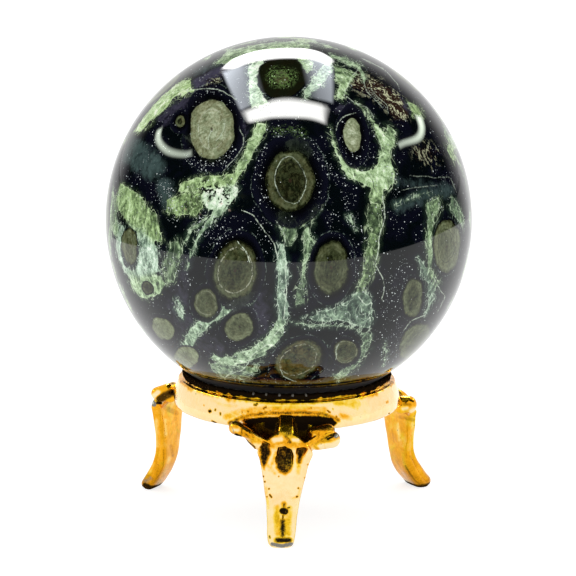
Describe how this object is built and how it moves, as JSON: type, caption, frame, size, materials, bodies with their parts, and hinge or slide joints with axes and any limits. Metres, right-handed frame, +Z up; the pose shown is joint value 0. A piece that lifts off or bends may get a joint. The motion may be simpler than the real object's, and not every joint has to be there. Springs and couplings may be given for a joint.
{
  "type": "polished stone sphere on a stand",
  "caption": "Polished dark green orbicular stone sphere, resting loose in a small gilt metal ring stand with scrolled cabriole legs.",
  "frame": {"origin": "on the surface that the stand stands on, below the sphere's centre", "axes": "+Z up; -Y towards the pictured side, where the front leg is"},
  "size_m": [0.05, 0.05, 0.0654],
  "materials": {
    "jasper": "mirror polished, dark blue-green with olive orbs and pale green veins",
    "gilt_band": "gold plated casting, glossy, with small pits and a tarnished collar",
    "gilt_leg": "gold plated casting, glossy, with small pits and worn grey tips"
  },
  "bodies": {
    "root": {"jasper_sphere": "jasper", "stand_ring": "gilt_band", "leg_front": "gilt_leg", "leg_left": "gilt_leg", "leg_right": "gilt_leg"}
  },
  "joints": []
}
